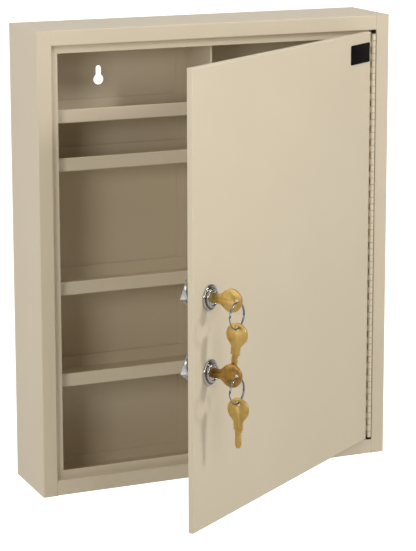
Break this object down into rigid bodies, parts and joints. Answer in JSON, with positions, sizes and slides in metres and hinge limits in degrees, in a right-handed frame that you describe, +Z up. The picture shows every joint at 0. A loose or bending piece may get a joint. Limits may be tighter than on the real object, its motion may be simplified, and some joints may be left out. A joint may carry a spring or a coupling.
{
  "type": "lockable medicine cabinet",
  "caption": "Shallow wall-hung steel medicine cabinet with shelves in two columns, a pan door on a continuous hinge, and cam locks with keys and spare keys on rings.",
  "frame": {"origin": "centre of the flat back face, which lies against the wall", "axes": "+Z up, +Y from the door to the wall, +X to the right seen from the front, where the door is hinged"},
  "size_m": [0.3556, 0.28, 0.435],
  "materials": {
    "painted_case": "beige powder coat, semi-matt",
    "painted_door": "beige powder coat, semi-matt",
    "hinge_steel": "painted with the case, rubbed bright on the knuckles",
    "pin_steel": "drawn wire, dulled by the paint at its ends",
    "lock_chrome": "polished chrome plate",
    "zinc_plate": "bright zinc plate",
    "plug_metal": "chrome-plated die casting",
    "key_brass": "polished brass",
    "key_dark_brass": "worn, darker brass",
    "ring_steel": "dark spring steel"
  },
  "bodies": {
    "case": {"left_side": "painted_case", "right_side": "painted_case", "top_panel": "painted_case", "bottom_panel": "painted_case", "back_panel": "painted_case", "divider": "painted_case", "shelf_left_1": "painted_case", "shelf_left_2": "painted_case", "shelf_left_3": "painted_case", "shelf_left_4": "painted_case", "shelf_right_1": "painted_case", "shelf_right_2": "painted_case", "shelf_right_3": "painted_case", "shelf_right_4": "painted_case", "hinge_case_leaf": "hinge_steel", "hinge_pin": "pin_steel"},
    "door": {"door_panel": "painted_door", "hinge_door_leaf": "hinge_steel", "upper_lock_body": "lock_chrome", "lower_lock_body": "lock_chrome", "upper_lock_nut": "zinc_plate", "lower_lock_nut": "zinc_plate"},
    "upper_lock_core": {"upper_plug": "plug_metal", "upper_cam": "zinc_plate", "upper_cam_washer": "zinc_plate", "upper_cam_screw": "zinc_plate"},
    "upper_key_body": {"upper_key": "key_brass"},
    "upper_ring_body": {"upper_ring": "ring_steel"},
    "upper_spare_body": {"upper_spare_key": "key_brass"},
    "lower_lock_core": {"lower_plug": "plug_metal", "lower_cam": "zinc_plate", "lower_cam_washer": "zinc_plate", "lower_cam_screw": "zinc_plate"},
    "lower_key_body": {"lower_key": "key_dark_brass"},
    "lower_ring_body": {"lower_ring": "ring_steel"},
    "lower_spare_body": {"lower_spare_key": "key_dark_brass"}
  },
  "joints": [
    {"name": "door_hinge", "type": "hinge", "parent": "case", "child": "door", "pos_m": [0.1605, -0.0808, 0], "axis": [0, 0, 1], "range_deg": [-35, 145]},
    {"name": "upper_lock_turn", "type": "hinge", "parent": "door", "child": "upper_lock_core", "pos_m": [-0.08343, -0.24989, 0.0024], "axis": [0.5736, -0.8192, 0], "range_deg": [0, 90]},
    {"name": "upper_key_pull", "type": "slide", "parent": "upper_lock_core", "child": "upper_key_body", "axis": [0.5736, -0.8192, 0], "range_m": [0, 0.03]},
    {"name": "upper_ring_swing", "type": "hinge", "parent": "upper_key_body", "child": "upper_ring_body", "pos_m": [-0.06768, -0.27238, 0.0024], "axis": [-0.8192, -0.5736, 0], "range_deg": [-5, 60]},
    {"name": "upper_spare_swing", "type": "hinge", "parent": "upper_ring_body", "child": "upper_spare_body", "pos_m": [-0.06617, -0.27052, -0.02217], "axis": [-0.8192, -0.5736, 0], "range_deg": [-5, 30]},
    {"name": "lower_lock_turn", "type": "hinge", "parent": "door", "child": "lower_lock_core", "pos_m": [-0.08343, -0.24989, -0.0637], "axis": [0.5736, -0.8192, 0], "range_deg": [0, 90]},
    {"name": "lower_key_pull", "type": "slide", "parent": "lower_lock_core", "child": "lower_key_body", "axis": [0.5736, -0.8192, 0], "range_m": [0, 0.03]},
    {"name": "lower_ring_swing", "type": "hinge", "parent": "lower_key_body", "child": "lower_ring_body", "pos_m": [-0.06768, -0.27238, -0.0637], "axis": [-0.8192, -0.5736, 0], "range_deg": [-5, 60]},
    {"name": "lower_spare_swing", "type": "hinge", "parent": "lower_ring_body", "child": "lower_spare_body", "pos_m": [-0.0658, -0.27106, -0.08827], "axis": [-0.8192, -0.5736, 0], "range_deg": [-5, 30]}
  ]
}
